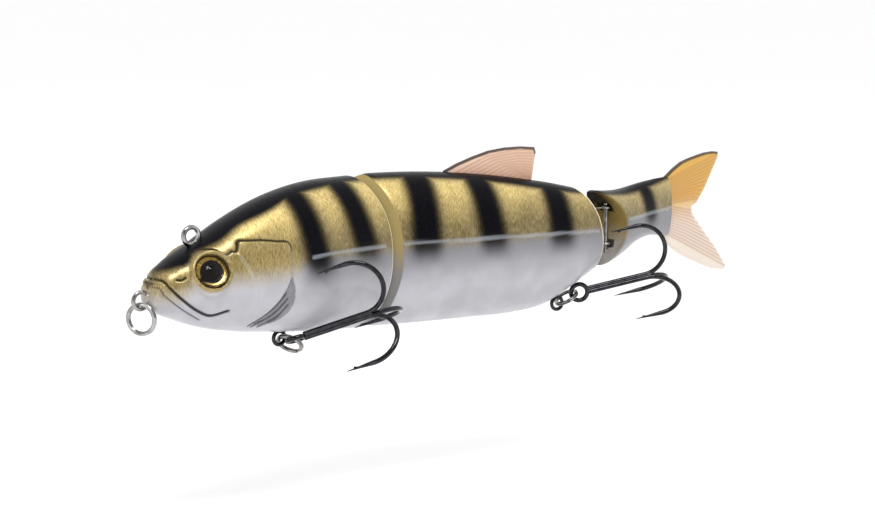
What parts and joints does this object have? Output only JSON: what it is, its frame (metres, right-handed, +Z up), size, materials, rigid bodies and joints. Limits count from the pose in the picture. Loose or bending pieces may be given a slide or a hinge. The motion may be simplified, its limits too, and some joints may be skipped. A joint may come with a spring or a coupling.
{
  "type": "jointed swimbait",
  "caption": "Hard-bodied jointed swimbait: hollow fish-shaped sections swinging on vertical pins, soft fins, line ties and treble hooks on split rings.",
  "frame": {"origin": "centre of the hole in the forehead line tie", "axes": "+X towards the tail along the head section, +Y towards the fish's right flank and along the line tie's hole, +Z up"},
  "size_m": [0.1931, 0.0484, 0.0485],
  "materials": {
    "painted_shell": "painted gold to pearl, clear coated",
    "steel_wire": "bright",
    "black_nickel": "black nickel plated",
    "eye_gold": "metallic",
    "eye_black": "gloss",
    "eye_lens": "clear",
    "ballast": "plain",
    "soft_fin": "translucent"
  },
  "bodies": {
    "head": {"head_shell_left": "painted_shell", "head_shell_right": "painted_shell", "nose_line_tie": "steel_wire", "top_line_tie": "steel_wire", "eye_iris_left": "eye_gold", "eye_iris_right": "eye_gold", "eye_pupil_left": "eye_black", "eye_pupil_right": "eye_black", "eye_lens_left": "eye_lens", "eye_lens_right": "eye_lens", "head_ballast": "ballast", "front_hook_hanger": "black_nickel", "front_joint_eye_upper": "steel_wire", "front_joint_eye_lower": "steel_wire"},
    "nose_ring": {"nose_split_ring": "steel_wire"},
    "front_ring": {"front_hook_split_ring": "steel_wire"},
    "front_hook": {"front_treble_hook": "black_nickel"},
    "middle": {"middle_shell_left": "painted_shell", "middle_shell_right": "painted_shell", "front_joint_pin": "steel_wire", "dorsal_fin": "soft_fin", "middle_ballast": "ballast", "rear_hook_hanger": "black_nickel", "rear_joint_eye_upper": "steel_wire", "rear_joint_eye_lower": "steel_wire"},
    "rear_ring": {"rear_hook_split_ring": "steel_wire"},
    "rear_hook": {"rear_treble_hook": "black_nickel"},
    "tail": {"tail_shell_left": "painted_shell", "tail_shell_right": "painted_shell", "rear_joint_pin": "steel_wire", "tail_fin": "soft_fin", "tail_fin_pin": "steel_wire"}
  },
  "joints": [
    {"name": "front_joint", "type": "hinge", "parent": "head", "child": "middle", "pos_m": [0.054, 0, 0], "axis": [0, 0, 1], "range_deg": [-8, 32]},
    {"name": "rear_joint", "type": "hinge", "parent": "middle", "child": "tail", "pos_m": [0.12218, -0.01449, 0], "axis": [0, 0, 1], "range_deg": [-34, 13]},
    {"name": "nose_ring_swing", "type": "hinge", "parent": "head", "child": "nose_ring", "pos_m": [-0.0138, 0, -0.0146], "axis": [-0.5, 0.866, 0], "range_deg": [-8, 70]},
    {"name": "front_ring_swing", "type": "hinge", "parent": "head", "child": "front_ring", "pos_m": [0.0245, 0, -0.0274], "axis": [0.1274, 0.8364, -0.5332], "range_deg": [0, 60]},
    {"name": "front_hook_swing", "type": "hinge", "parent": "front_ring", "child": "front_hook", "pos_m": [0.02651, -0.00389, -0.0274], "axis": [0.7567, -0.3779, -0.5335], "range_deg": [0, 14]},
    {"name": "rear_ring_swing", "type": "hinge", "parent": "middle", "child": "rear_ring", "pos_m": [0.10721, -0.01131, -0.027], "axis": [0.3815, 0.9213, 0.0755], "range_deg": [0, 80]},
    {"name": "rear_hook_swing", "type": "hinge", "parent": "rear_ring", "child": "rear_hook", "pos_m": [0.1116, -0.0141, -0.02409], "axis": [0.5475, 0.816, 0.1854], "range_deg": [0, 60]}
  ]
}
